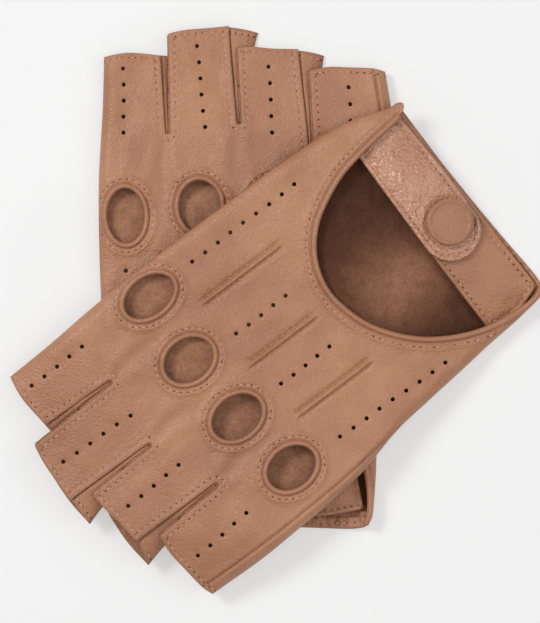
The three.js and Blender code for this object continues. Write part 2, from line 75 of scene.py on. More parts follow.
# ---- Outlines, [u, v] ----
INDEX_SIDE = [[41.5, -82.2], [43.2, -83.6], [44.6, -82.6], [45, -79], [48.3, -70], [51, -58], [52.2, -42],
              [52.5, -20], [52.5, 18], [51.8, 42], [50.4, 64], [49.8, 81.6]]
PINKY_SIDE = [[-52.3, 70.8], [-52.7, 50], [-52, 34], [-51.2, 19], [-49.8, 5], [-48.2, -2], [-45.2, -15],
              [-43.7, -30], [-42.4, -45], [-41.2, -57], [-40.4, -68], [-39.6, -75.5], [-38.9, -79.6]]
SEAM = [[-48.2, 73], [-48.7, 50], [-48, 20], [-47, 5], [-45.7, -6], [-44.6, -13], [-44.4, -16]]
WRIST = [[-38.9, -79.6], [-38.2, -82.4], [-36.3, -84.4], [-33, -85], [-28, -84.9], [-18, -84.2], [0, -83.2],
         [20, -82.4], [41.5, -82.2]]
APERTURE = [[-35.3, -83.1], [-36.6, -80.2], [-37.1, -75.5], [-36.6, -68], [-35, -60], [-31.4, -51],
            [-25.8, -42], [-19, -35], [-10, -28.9], [-1, -25.8], [7, -24.8], [15, -26.4], [22, -30.2],
            [28, -36.2], [32.7, -44.5], [35.7, -52], [37.2, -59], [38.5, -69], [39.6, -80]]
# Each finger's end: the back's edge, how wide the palm lies, and where the palm ends on each glove.
FINGERS = {
    "pinky": {"tip": [[-52.3, 70.8], [-48, 72], [-40, 72.9], [-32, 73.6], [-24.9, 73]],
              "palm": [-52.3, -32.3], "palm_tip": {"left": 72.9, "right": 72.9}},
    "ring": {"tip": [[-21.8, 80.3], [-12, 81.3], [-5, 82.5], [0.6, 82.8]],
             "palm": [-31, -8.9], "palm_tip": {"left": 83.4, "right": 78.6}},
    "middle": {"tip": [[3.2, 90.4], [12, 90.2], [20, 89.8], [25.8, 88.8]],
               "palm": [-7.5, 15.2], "palm_tip": {"left": 90.9, "right": 88.3}},
    "index": {"tip": [[28.9, 81.3], [36, 82.3], [42, 82.6], [49.8, 81.6]],
              "palm": [24.8, 49.8], "palm_tip": {"left": 82.4, "right": 82.2}},
}
SLITS = [("pinky", "ring", (-22.7, 46)), ("ring", "middle", (1.9, 56.3)), ("middle", "index", (27.3, 54))]
PALM_SLIT = (-1.2, 7)  # where the palm's slits end, from where the back's do, so that they don't gape
PALM_CORNER = 0.9  # how far a finger's palm is cut back at its corner
KNUCKLE_STITCH, APERTURE_STITCH = 3.3, 3.7  # from a binding's inner edge to its stitches
SEWN = 1.8  # stitches to the edge of the strap and tab
HEM_THICK, WRIST_STITCH = 0.45, 2.1  # the wrist hem, and its stitches to the edge
LIP_HEIGHT, LIP_SUNK = 1.35, 0.2  # the rolled bindings
WALL_FOOT, WALL_GAP, WALL_PUFF = 0.9, 0.15, 0.55  # fourchettes: lowest level, gap to the back, bulge
AROUND_HOLE = 72  # points round a knuckle hole
LINING = 0.95  # how far the seam of the strap and tab lies under their level
KNUCKLES = {
    "index": ((42.9, 26.2), (6.3, 9.4)),
    "middle": ((17.2, 28.5), (7.1, 8.9)),
    "ring": ((-8.3, 27), (6.9, 9.2)),
    "pinky": ((-33.5, 22.5), (6.8, 8.8)),
}
# Rows of perforations: first hole, last hole, how many.
PERFORATIONS = [
    ((42.8, 77.2), (42.8, 55), 5),
    ((15.3, 84.1), (14, 55.9), 6),
    ((-10.3, 75.2), (-9.6, 52.9), 5),
    ((-38.3, 66.4), (-36.7, 44.2), 5),
    ((-35, 2.8), (-36.8, -41.5), 9),
    ((-8.3, 8), (-8.3, -12.9), 5),
    ((14.7, 10), (14.7, -11.4), 5),
    ((43.5, 7.2), (43.5, -36.8), 9),
]
PERFORATION = 0.74  # radius
POINTS = [((-20.5, 10.5), (-20.5, -21.5)), ((3.3, 13.5), (3.3, -15.5)), ((30, 13.5), (30, -20.5))]
POINT_WIDTH = 2.3  # between the two rows of stitches of a raised point
SNAP = (1, -72)
CAP_RADIUS = 8.2
STRAP = {"top": -59.8, "bottom": -81, "tip": -12.2}
TAB = {"top": -61, "right": 12,
       "end": {"left": [(-37.2, -61.5), (-38.3, -72), (-34.9, -83)],
               "right": [(-33.4, -61.5), (-34.7, -70), (-35.9, -77.6)]},
       "bottom": {"left": [(-33, -83.1), (-14, -82.6), (12, -81.8)],
                  "right": [(-34.8, -78.4), (-20.5, -80.1), (12, -79.2)]}}
THUMB = {"pivot": (37, -22), "along": 117, "length": 43, "base": 15, "mouth": 12.5}


# ---- Small geometry helpers ----
def smooth(t):
    t = np.clip(t, 0, 1)
    return t * t * (3 - 2 * t)


def mix(a, b, t):
    return a + (b - a) * t


def bump(distance, width):
    """1 at distance 0, falling away within about width."""
    return np.exp(-((distance / width) ** 2))


def rounded(t):
    """A quarter ellipse: 0 at t = 0, 1 with a level end at t = 1."""
    return np.sqrt(1 - (1 - np.clip(t, 0, 1)) ** 2)


def lengths(line):
    return np.concatenate([[0], np.cumsum(np.linalg.norm(np.diff(line, axis=0), axis=1))])


def resample(line, step):
    along = lengths(line)
    count = max(1, round(along[-1] / step))
    at = np.linspace(0, along[-1], count + 1)
    return np.column_stack([np.interp(at, along, line[:, k]) for k in range(line.shape[1])])


def curve(guides, step=1.2):
    """A centripetal Catmull-Rom curve through the guides, with points about step apart."""
    p = np.array(guides, float)
    p = np.vstack([2 * p[0] - p[1], p, 2 * p[-1] - p[-2]])
    dense = []
    for p0, p1, p2, p3 in zip(p, p[1:], p[2:], p[3:]):
        pairs = (p0, p1), (p1, p2), (p2, p3)
        knots = np.concatenate([[0], np.cumsum([math.sqrt(np.linalg.norm(b - a)) for a, b in pairs])])
        t = np.linspace(knots[1], knots[2], 24, endpoint=False)[:, None]

        def between(a, b, ta, tb):
            return ((tb - t) * a + (t - ta) * b) / (tb - ta)

        a1, a2, a3 = (between(a, b, knots[i], knots[i + 1]) for i, (a, b) in enumerate(pairs))
        b1, b2 = between(a1, a2, knots[0], knots[2]), between(a2, a3, knots[1], knots[3])
        dense.append(between(b1, b2, knots[1], knots[2]))
    return resample(np.vstack([*dense, p[-2:-1]]), step)


def ellipse(centre, half, count, grow=0.0):
    a = np.linspace(0, 2 * math.pi, count, endpoint=False)
    wide, high = half[0] + grow, half[1] + grow
    return np.column_stack([centre[0] + wide * np.cos(a), centre[1] + high * np.sin(a)])


def closed(line):
    return np.vstack([line, line[:1]])


def normals(line, is_loop=False):
    """Unit normals to the left of a line's direction."""
    if is_loop:
        d = np.roll(line, -1, 0) - np.roll(line, 1, 0)
    else:
        d = np.gradient(line, axis=0)
    d /= np.maximum(np.linalg.norm(d, axis=1), 1e-9)[:, None]
    return np.column_stack([-d[:, 1], d[:, 0]])


def offset(line, depth):
    """The line moved to the left of its direction, or with a negative depth to the right."""
    return line + depth * normals(line)


def offset_rows(line, depths):
    return [offset(line, depth) for depth in depths]


def distance(points, *lines):
    """Distance from each point to the nearest of the polylines."""
    a = np.vstack([line[:-1] for line in lines])
    b = np.vstack([line[1:] for line in lines])
    ab = b - a
    squared = np.maximum((ab ** 2).sum(1), 1e-12)
    out = np.empty(len(points))
    for i in range(0, len(points), 2000):
        p = points[i:i + 2000, None, :] - a[None]
        t = np.clip((p * ab).sum(2) / squared, 0, 1)
        out[i:i + 2000] = np.sqrt(((p - t[..., None] * ab) ** 2).sum(2).min(1))
    return out


def inside(points, loop):
    x, y = points[:, 0], points[:, 1]
    odd = np.zeros(len(points), bool)
    for (x0, y0), (x1, y1) in zip(loop, np.roll(loop, -1, 0)):
        if y0 == y1:
            continue
        crosses = ((y0 > y) != (y1 > y)) & (x < x0 + (y - y0) / (y1 - y0) * (x1 - x0))
        odd ^= crosses
    return odd


def wander(points, size, seed):
    """Smooth noise, about -0.5 to 0.5, with lumps about size across."""
    return np.array([noise.noise(Vector((u / size, v / size, seed))) for u, v in points])


# ---- How a glove lies ----
class Glove:
    """Where a glove lies. close and reach bend its fingers together and forwards."""

    def __init__(self, side, turn, flip, close, reach, raised, seed):
        self.side, self.flip, self.close, self.reach = side, flip, close, reach
        self.raised, self.seed = raised, seed
        self.cos, self.sin = math.cos(math.radians(turn)), math.sin(math.radians(turn))
        low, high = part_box(f"{side}_snap_cap")
        centre = (low + high) / 2 / MM
        u, v = flip * SNAP[0], SNAP[1]
        self.x = centre.x - u * self.cos + v * self.sin
        self.y = centre.y - u * self.sin - v * self.cos
        self.body, self.strap, self.thumb = f"{side}_glove", f"{side}_strap", f"{side}_thumb"
        self.lies_on = ["right_back"] if raised else []

    def place(self, points):
        """Points (u, v, w) in millimetres to (x, y, z) in metres."""
        u, v, w = np.asarray(points, float).T
        out = np.clip((v - 40) / 45, 0, 1)
        side = self.flip * (u + self.close * (30 - u) * out)
        ahead = v + self.reach * np.maximum(0, 10 - u) * out
        x = self.x + side * self.cos - ahead * self.sin
        y = self.y + side * self.sin + ahead * self.cos
        return np.column_stack([x, y, w + drape(x, y, self.raised)]) * MM

    def point(self, u, v, w):
        return Vector(self.place([(u, v, w)])[0])


def drape(x, y, raised):
    """The level of what a glove lies on: the table, or for the upper glove the lower one."""
    if not raised:
        return np.zeros_like(x)
    corner = 14
    left, right, near, far = RIGHT.x - 53.9, RIGHT.x + 43.1, RIGHT.y - 83.4, RIGHT.y + 89.6
    dx = np.maximum(np.maximum(left + corner - x, x - right + corner), 0)
    dy = np.maximum(np.maximum(near + corner - y, y - far + corner), 0)
    past = np.hypot(dx, dy) - corner
    from_snap = np.hypot(x - RIGHT.x + SNAP[0], y - RIGHT.y - SNAP[1])
    over_snap = 1.3 * (1 - smooth((from_snap - 10.2) / 26))
    return (raised + over_snap) * (1 - smooth(past / 46))


RIGHT = Glove("right", 2, -1, 0.065, 0.055, 0, 3.0)
LEFT = Glove("left", 127, 1, 0, 0, UPPER_GLOVE, 11.0)


# ---- Materials ----
def linear(red, green, blue):
    return (*(((c / 255 + 0.055) / 1.055) ** 2.4 if c > 10 else c / 3294 for c in (red, green, blue)), 1)


class Nodes:
    """A material with a Principled shader and short calls to add nodes to it."""

    def __init__(self, name, **sockets):
        self.material = bpy.data.materials.new(name)
        self.material.use_nodes = True
        self.tree = self.material.node_tree
        self.shader = self.tree.nodes["Principled BSDF"]
        for key, value in sockets.items():
            self.shader.inputs[key.replace("_", " ")].default_value = value
        self.place = self.add("ShaderNodeTexCoord").outputs["Object"]

    def add(self, kind, inputs=(), **settings):
        node = self.tree.nodes.new(kind)
        for key, value in settings.items():
            setattr(node, key, value)
        for key, value in dict(inputs).items():
            if isinstance(value, bpy.types.NodeSocket):
                self.tree.links.new(value, node.inputs[key])
            else:
                node.inputs[key].default_value = value
        return node

    def noise(self, size, detail=3.0, roughness=0.55):
        inputs = {"Vector": self.place, "Scale": 1 / (size * MM), "Detail": detail, "Roughness": roughness}
        return self.add("ShaderNodeTexNoise", inputs).outputs["Fac"]

    def cells(self, size):
        inputs = {"Vector": self.place, "Scale": 1 / (size * MM)}
        return self.add("ShaderNodeTexVoronoi", inputs).outputs["Distance"]

    def ramp(self, value, *stops):
        node = self.add("ShaderNodeValToRGB", {"Fac": value})
        first, last = node.color_ramp.elements[0], node.color_ramp.elements[1]
        first.position, first.color = stops[0]
        last.position, last.color = stops[-1]
        for position, color in stops[1:-1]:
            node.color_ramp.elements.new(position).color = color
        return node.outputs["Color"]

    def multiply(self, a, b, share):
        node = self.add("ShaderNodeMix", {"Factor": share}, data_type="RGBA", blend_type="MULTIPLY")
        self.tree.links.new(a, node.inputs[6])
        self.tree.links.new(b, node.inputs[7])
        return node.outputs[2]

    def bumps(self, *layers):
        """Each layer is (height, millimetres)."""
        normal = None
        for height, depth in layers:
            inputs = {"Height": height, "Distance": depth * MM}
            if normal:
                inputs["Normal"] = normal
            normal = self.add("ShaderNodeBump", inputs).outputs["Normal"]
        self.tree.links.new(normal, self.shader.inputs["Normal"])

    def color(self, socket):
        self.tree.links.new(socket, self.shader.inputs["Base Color"])

    def roughness(self, value, low, high):
        node = self.add("ShaderNodeMapRange", {"Value": value, "To Min": low, "To Max": high})
        self.tree.links.new(node.outputs["Result"], self.shader.inputs["Roughness"])


def nappa(name, dark, light, grain, depth, rough, specular, wrinkles=((8, 0.52), (1.3, 0.17))):
    """Smooth glove leather: soft patches of tone, a fine grain, creases and wrinkles of (size, depth)."""
    m = Nodes(name, Roughness=rough, Specular_IOR_Level=specular)
    tone = m.ramp(m.noise(26, 4), (0.3, linear(*dark)), (0.72, linear(*light)))
    pores = m.ramp(m.cells(grain), (0.0, (0.8, 0.78, 0.76, 1)), (0.45, (1, 1, 1, 1)))
    m.color(m.multiply(tone, pores, 0.35))
    m.roughness(m.noise(2.2, 4), rough - 0.07, rough + 0.1)
    warp = m.add("ShaderNodeTexNoise", {"Vector": m.place, "Scale": 1 / (5 * MM), "Detail": 2.0})
    warp = warp.outputs["Color"]
    bent = m.add("ShaderNodeVectorMath", {0: warp, 1: (3 * MM,) * 3, 2: m.place}, operation="MULTIPLY_ADD")
    creases = m.add("ShaderNodeTexVoronoi", {"Vector": bent.outputs["Vector"], "Scale": 1 / (3.4 * MM)},
                    feature="DISTANCE_TO_EDGE").outputs["Distance"]
    creases = m.add("ShaderNodeMapRange", {"Value": creases, "From Max": 0.09}).outputs["Result"]
    wrinkled = [(m.noise(size), deep) for size, deep in wrinkles]
    m.bumps(*wrinkled, (creases, 0.04), (m.cells(grain), depth))
    return m.material


def suede(name, dark, light, shaded=False):
    """The leather's flesh side: matt, brushed and cloudy. shaded multiplies in painted shade, read from an
    attribute of the mesh.
    """
    m = Nodes(name, Roughness=0.95, Specular_IOR_Level=0.15, Sheen_Weight=0.2, Sheen_Roughness=0.45)
    color = m.ramp(m.noise(5, 6, 0.7), (0.3, linear(*dark)), (0.7, linear(*light)))
    fibres = m.ramp(m.noise(0.9, 5, 0.75), (0.35, (0.62, 0.6, 0.58, 1)), (0.62, (1, 1, 1, 1)))
    color = m.multiply(color, fibres, 0.8)
    if shaded:
        # Painted shade: the glove's inside is darkened where it lies in shadow.
        painted_shade = m.add("ShaderNodeAttribute", attribute_name="painted_shade").outputs["Fac"]
        shade = m.ramp(painted_shade, (0.2, (0.22, 0.17, 0.15, 1)), (0.6, (0.56, 0.5, 0.47, 1)), (1.0, (1, 1, 1, 1)))
        color = m.multiply(color, shade, 1.0)
    m.color(color)
    m.bumps((m.noise(2.5, 5, 0.7), 0.45), (m.noise(0.6, 4, 0.7), 0.22))
    return m.material


def thread(name, dark, light):
    m = Nodes(name, Roughness=0.6, Sheen_Weight=0.2)
    m.color(m.ramp(m.noise(0.8), (0.3, linear(*dark)), (0.7, linear(*light))))
    m.bumps((m.noise(0.25, 2), 0.06))
    return m.material


def metal(name, color):
    m = Nodes(name, Metallic=1.0, Roughness=0.3)
    m.color(m.ramp(m.noise(1.5), (0.3, linear(*color)), (0.8, linear(*(min(255, c + 25) for c in color)))))
    m.roughness(m.noise(0.6), 0.22, 0.4)
    m.bumps((m.noise(0.5), 0.02))
    return m.material


def webbing(name, dark, light):
    m = Nodes(name, Roughness=0.85, Sheen_Weight=0.3)
    weave = m.add("ShaderNodeTexWave", {"Vector": m.place, "Scale": 1 / (4 * MM), "Distortion": 1.5},
                  bands_direction="DIAGONAL").outputs["Fac"]
    m.color(m.ramp(weave, (0.2, linear(*dark)), (0.8, linear(*light))))
    m.bumps((weave, 0.15))
    return m.material


NAPPA = nappa("nappa", (157, 105, 75), (181, 128, 95), 0.75, 0.14, 0.43, 0.5)
BINDING = nappa("binding_leather", (154, 103, 74), (176, 124, 92), 0.75, 0.12, 0.4, 0.55)
# The strap's leather, in the glove's own colour made lighter: the extra lightness is painted highlight that
# stands in for its glints.
STRAP_LEATHER = nappa("strap_leather", (176, 121, 92), (203, 149, 119), 1.1, 0.28, 0.2, 0.8,
                      ((7, 0.9), (2.4, 0.6), (1.1, 0.3)))
SUEDE = suede("suede", (128, 86, 64), (164, 117, 92))
# Its colour is darkened by painted shade inside the opening.
SHADED_PALM_SUEDE = suede("palm_suede_painted_shade", (150, 104, 79), (182, 133, 105), shaded=True)
THREAD = thread("thread", (168, 118, 90), (206, 158, 130))
SHADE = thread("needle_hole", (70, 40, 28), (90, 55, 40))
BRASS = metal("aged_brass", (168, 140, 96))
ELASTIC = webbing("elastic", (108, 74, 57), (150, 108, 86))


# ---- Mesh makers ----
def piece(name, glove, body, vertices, faces, materials, slots=None):
    """An object from glove-frame vertices. The right glove is mirrored, so its faces are turned round."""
    mesh = bpy.data.meshes.new(f"{glove.side}_{name}")
    if glove.flip < 0:
        faces = [face[::-1] for face in faces]
    mesh.from_pydata(glove.place(vertices).tolist(), [], faces)
    for material in materials:
        mesh.materials.append(material)
    if slots is not None:
        mesh.polygons.foreach_set("material_index", slots)
    mesh.polygons.foreach_set("use_smooth", [True] * len(faces))
    mesh.update()
    made = bpy.data.objects.new(mesh.name, mesh)
    bpy.context.collection.objects.link(made)
    if body:
        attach(made, body)
    return made


def thinned(rows, spacing):
    """Drops each point that is closer than spacing to one kept before it."""
    kept, cells = [], {}
    for p in rows:
        key = (int(p[0] // spacing), int(p[1] // spacing))
        near = [q for i in (-1, 0, 1) for j in (-1, 0, 1) for q in cells.get((key[0] + i, key[1] + j), ())]
        if all((p[0] - q[0]) ** 2 + (p[1] - q[1]) ** 2 > spacing ** 2 for q in near):
            kept.append(p)
            cells.setdefault(key, []).append(p)
    return np.array(kept)


def lattice(loop, step):
    low, high = loop.min(0), loop.max(0)
    rows = []
    for j, v in enumerate(np.arange(low[1], high[1], step * 0.866)):
        u = np.arange(low[0] + (j % 2) * step / 2, high[0], step)
        rows.append(np.column_stack([u, np.full(len(u), v)]))
    return np.vstack(rows)


def flat_mesh(outline, holes, details, step, edge_rows=(0.12, 0.35, 0.75, 1.3)):
    """Triangles over an outline with holes. details are extra points where the leather has fine relief."""
    loops = [outline, *holes]
    edges = [closed(loop) for loop in loops]
    rows = []
    for depth in edge_rows:
        for loop in loops:
            for sign in (1, -1):
                moved = loop + sign * depth * normals(loop, True)
                rows.append(moved[distance(moved, *edges) > 0.93 * depth])
    fine = thinned(np.vstack([*rows, *details]), 0.1)
    spread = lattice(outline, step)
    if details:
        spread = spread[distance_to_points(spread, np.vstack(details)) > 0.6 * step]
    spread = spread[distance(spread, *edges) > max(edge_rows) + 0.4 * step]
    inner = np.vstack([fine, spread])
    keep = inside(inner, outline)
    for hole in holes:
        keep &= ~inside(inner, hole)
    inner = inner[keep]
    inner = inner[distance(inner, *edges) > 0.08]
    points = np.vstack([*loops, inner])
    links, start = [], 0
    for loop in loops:
        links += [(start + i, start + (i + 1) % len(loop)) for i in range(len(loop))]
        start += len(loop)
    made = delaunay_2d_cdt([Vector(p) for p in points.tolist()], links, [], 0, 1e-5)
    flat = np.array([tuple(p) for p in made[0]])
    triangles = np.array([f for f in made[2] if len(f) == 3])
    centres = flat[triangles].mean(1)
    keep = inside(centres, outline)
    for hole in holes:
        keep &= ~inside(centres, hole)
    triangles = triangles[keep]
    area = doubled_areas(flat, triangles)
    triangles[area < 0] = triangles[area < 0][:, ::-1]
    used = np.unique(triangles)
    renumber = np.full(len(flat), -1)
    renumber[used] = np.arange(len(used))
    return flat[used], renumber[triangles[np.abs(area) > 1e-7]]


def doubled_areas(flat, triangles):
    a, b, c = (flat[triangles[:, k]] for k in range(3))
    return (b[:, 0] - a[:, 0]) * (c[:, 1] - a[:, 1]) - (b[:, 1] - a[:, 1]) * (c[:, 0] - a[:, 0])


def distance_to_points(points, others, cell=2, far=9.0):
    """Distance from each point to the nearest of the others, or far where none is in the cells round it."""
    grid = {}
    for p in others:
        grid.setdefault((int(p[0] // cell), int(p[1] // cell)), []).append(p)
    out = np.full(len(points), far)
    for i, (u, v) in enumerate(points):
        key = (int(u // cell), int(v // cell))
        near = [q for a in (-1, 0, 1) for b in (-1, 0, 1) for q in grid.get((key[0] + a, key[1] + b), ())]
        if near:
            out[i] = math.sqrt(((np.array(near) - (u, v)) ** 2).sum(1).min())
    return out


def sheet(name, glove, body, flat, triangles, top, bottom, materials):
    """A closed sheet: its upper side at top, its lower side at bottom, joined round every edge."""
    n = len(flat)
    vertices = np.vstack([np.column_stack([flat, top]), np.column_stack([flat, bottom])])
    count = {}
    for a, b, c in triangles.tolist():
        for edge in ((a, b), (b, c), (c, a)):
            if edge[::-1] in count:
                del count[edge[::-1]]
            else:
                count[edge] = True
    walls = [(b, a, a + n, b + n) for a, b in count]
    upper = triangles.tolist()
    lower = (triangles[:, ::-1] + n).tolist()
    outer, inner = materials
    shown = [outer] if outer == inner else [outer, inner]
    slots = [0] * len(upper) + [len(shown) - 1] * len(lower) + [0] * len(walls)
    return piece(name, glove, body, vertices, upper + lower + walls, shown, slots)


def tube(rings, around, start=0):
    """The faces between rings of points that follow each other. start is the first point's number."""
    faces = []
    for i in range(rings - 1):
        for k in range(around):
            p, q = start + i * around + k, start + i * around + (k + 1) % around
            faces.append((p, q, q + around, p + around))
    return faces


def capped_tube(rings, around):
    last = (rings - 1) * around
    return [*tube(rings, around), tuple(range(around))[::-1], tuple(range(last, last + around))]


def sweep(name, glove, body, path, section, is_loop, material):
    """A strip along a path of (u, v, w). section has a loop of (to the left, up) pairs for each point."""
    side = normals(path[:, :2], is_loop)
    n, m = len(path), len(section[0])
    vertices = []
    for (u, v, w), (du, dv), loop in zip(path, side, section):
        vertices += [(u + s * du, v + s * dv, w + h) for s, h in loop]
    faces = []
    for i in range(n if is_loop else n - 1):
        for k in range(m):
            a, b = i * m + k, i * m + (k + 1) % m
            c, d = (a + m) % (n * m), (b + m) % (n * m)
            faces.append((a, c, d, b))
    if not is_loop:
        faces.append(tuple(range(m)))
        faces.append(tuple(range(n * m - 1, (n - 1) * m - 1, -1)))
    return piece(name, glove, body, np.array(vertices), faces, [material])


def stitches(name, glove, body, rows, surface, lift=0.0):
    """Thread along each row, a list of (u, v), lying on surface(points), with a needle hole at each end."""
    around, along = 7, 5
    a = np.linspace(0, 2 * math.pi, around, endpoint=False)
    rings = np.linspace(-math.pi / 2, math.pi / 2, along)[1:-1]
    unit = [(math.sin(r), math.cos(r) * math.cos(t), math.cos(r) * math.sin(t)) for r in rings for t in a]
    unit = np.array([(-1, 0, 0), *unit, (1, 0, 0)])
    m = len(rings)
    faces = [(0, 1 + (k + 1) % around, 1 + k) for k in range(around)]
    faces += tube(m, around, 1)
    last = 1 + (m - 1) * around
    faces += [(last + k, last + (k + 1) % around, len(unit) - 1) for k in range(around)]
    faces = np.array([f if len(f) == 4 else (*f, -1) for f in faces])
    vertices, made, holes, hole_faces = [], [], [], []
    half = STITCH["length"] / 2
    for row in rows:
        stations = resample(np.asarray(row, float), STITCH["pitch"])
        middles = (stations[1:] + stations[:-1]) / 2
        if not len(middles):
            continue
        ahead = stations[1:] - stations[:-1]
        ahead /= np.linalg.norm(ahead, axis=1)[:, None]
        ends = [surface(middles - half * ahead), surface(middles + half * ahead)]
        for (u, v), (du, dv), low, high in zip(middles, ahead, *ends):
            slope = (high - low) / 2
            x, y, z = unit.T
            base = len(vertices) * len(unit)
            vertices.append(np.column_stack([
                u + du * half * x - dv * STITCH["width"] / 2 * y,
                v + dv * half * x + du * STITCH["width"] / 2 * y,
                (low + high) / 2 + slope * x + STITCH["height"] * z - 0.02 + lift,
            ]))
            made += [tuple(int(i) + base for i in f if i >= 0) for f in faces]
        level = surface(stations)
        for (u, v), w in zip(stations, level):
            base = len(holes)
            for height in (0.05, -0.3):
                holes += [(u + NEEDLE * math.cos(t), v + NEEDLE * math.sin(t), w + height + lift) for t in a]
            hole_faces.append(tuple(base + k for k in range(around)))
            hole_faces.append(tuple(base + 2 * around - 1 - k for k in range(around)))
            for k in range(around):
                p, q = base + k, base + (k + 1) % around
                hole_faces.append((q, p, p + around, q + around))
    threads = piece(name, glove, body, np.vstack(vertices), made, [THREAD])
    needle = piece(name + "_holes", glove, body, np.array(holes), hole_faces, [SHADE])
    return [threads, needle]


# ---- The hand's surfaces ----
INDEX_LINE, PINKY_LINE = curve(INDEX_SIDE), curve(PINKY_SIDE)
BACK_PINKY_LINE = curve(PINKY_SIDE[:-1] + [[-39.2, -79], [-38.5, -81.9], [-36.7, -84]])  # the back's own edge
FOLDED = curve(INDEX_SIDE[2:]), BACK_PINKY_LINE
APERTURE_LINE = curve(APERTURE, 0.9)
KNUCKLE_LINES = {name: ellipse(*hole, AROUND_HOLE) for name, hole in KNUCKLES.items()}
SEAM_LINE = curve(SEAM)


def back_slit(first, second, end):
    """The back's two edges round a slit, from the first finger's corner to the second's."""
    a, b = FINGERS[first]["tip"][-1], FINGERS[second]["tip"][0]
    turn = np.linspace(math.pi, 2 * math.pi, 7)
    foot = np.column_stack([end[0] + 0.8 * np.cos(turn), end[1] + 0.8 + 0.8 * np.sin(turn)])
    down = resample(np.array([a, foot[0]], float), 1.0)
    up = resample(np.array([foot[-1], b], float), 1.0)
    return np.vstack([down, foot[1:-1], up])


SLIT_LINES = [back_slit(*s) for s in SLITS]
TIP_LINES = {name: curve(f["tip"]) for name, f in FINGERS.items()}


def perforations():
    for first, last, count in PERFORATIONS:
        for i in range(count):
            t = i / (count - 1)
            yield (mix(first[0], last[0], t) + 0.18 * math.sin(5 * i), mix(first[1], last[1], t))


PERFORATION_CENTRES = np.array(list(perforations()))


def thumb_raise(u, v):
    return THUMB_ROOM * smooth((u + 9) / 14) * smooth((v + 56) / 16) * smooth((46 - v) / 20)


def side_level(p):
    """The level of the folded sides."""
    return MIDDLE + 0.45 * thumb_raise(*p.T)


def between_folds(p, level, above=0.0):
    """The leather's inner side: level over the hand, and above the folded sides' level at the folds."""
    fold = distance(p, *FOLDED)
    return mix(side_level(p) + above, level, rounded((fold - LEATHER) / (FOLD - LEATHER)))


def back_level(p):
    """The back without its fine relief: level over the hand, flatter at the fingers, round at the folds."""
    full = BACK - FINGER_DROP * smooth((p[:, 1] - 50) / 36)
    return mix(side_level(p), full, rounded(distance(p, *FOLDED) / FOLD))


def band(d, width, stitch):
    """A doubled band beside a binding: raised, with its row of stitches sunk in it."""
    return 0.5 * (1 - smooth((d - width) / 0.8)) - 0.36 * bump(d - stitch, 0.5)


def soft_shape(p, seed):
    """How worn leather settles: broad swells, folds that run from each slit to the hand, small creases."""
    u, v = p.T
    out = 1.1 * wander(p, 38, seed) + 0.65 * wander(p, 12, seed + 5)
    out += 0.32 * wander(np.column_stack([u, 0.45 * v]), 5.5, seed + 9)
    for _, _, (u0, v0) in SLITS:
        below = v0 - v
        along = smooth((below + 1) / 5) * smooth((26 - below) / 14)
        across = (u - u0 - 2.2 * np.sin(0.13 * below)) / (1.7 + 0.07 * np.maximum(below, 0))
        out += along * (0.5 * np.exp(-((np.abs(across) - 1.6) ** 2)) - 0.55 * np.exp(-(across ** 2)))
    return out


def back_relief(p, seed):
    """The back's fine relief, in millimetres."""
    u, v = p.T
    out = soft_shape(p, seed)
    puckers = np.sin(2 * math.pi * (u + 1.3 * v) / 3.1)
    for lines, stitch in ((TIP_LINES.values(), TIP_HEM), (SLIT_LINES, HEM)):
        hem = distance(p, *lines)
        out += 0.22 * (1 - smooth((hem - stitch - 0.3) / 0.9)) - 0.3 * bump(hem - stitch, 0.4)
        out += 0.14 * bump(hem - stitch, 1.2) * puckers - 0.75 * (1 - rounded(hem / 0.85))
    knuckle = distance(p, *(closed(line) for line in KNUCKLE_LINES.values()))
    out += np.where(knuckle < 6, band(knuckle, KNUCKLE_STITCH + 0.8, KNUCKLE_STITCH), 0)
    out -= 0.75 * bump(knuckle - 2.0, 0.42)
    around = np.arctan2(v - 26, u - 4)
    out += 0.15 * bump(knuckle - KNUCKLE_STITCH, 1.3) * np.sin(2 * math.pi * (u - v) / 2.7 + around)
    opening = distance(p, APERTURE_LINE)
    out += np.where(opening < 6.5, band(opening, APERTURE_STITCH + 0.9, APERTURE_STITCH), 0)
    out -= 0.7 * bump(opening - 2.2, 0.42)
    out += 0.12 * bump(opening - APERTURE_STITCH, 1.3) * np.sin(2 * math.pi * (u + 1.7 * v) / 3.4)
    for (u0, v0), (_, v1) in POINTS:
        along = smooth((v - v1 + 0.5) / 1.5) * smooth((v0 + 0.5 - v) / 1.5)
        across = np.abs(u - u0)
        out += along * (0.6 * bump(across, 0.7) - 0.75 * bump(across - POINT_WIDTH / 2, 0.36))
    seam = distance(p, SEAM_LINE)
    out += np.where(v > -16, 0.3 * bump(seam - 1.2, 0.9) - 0.9 * bump(seam, 0.4), 0)
    holes = distance_to_points(p, PERFORATION_CENTRES)
    out -= 0.14 * bump(np.maximum(holes - PERFORATION, 0), 0.5)
    return out


def back_top(glove):
    return lambda p: back_level(p) + back_relief(p, glove.seed)


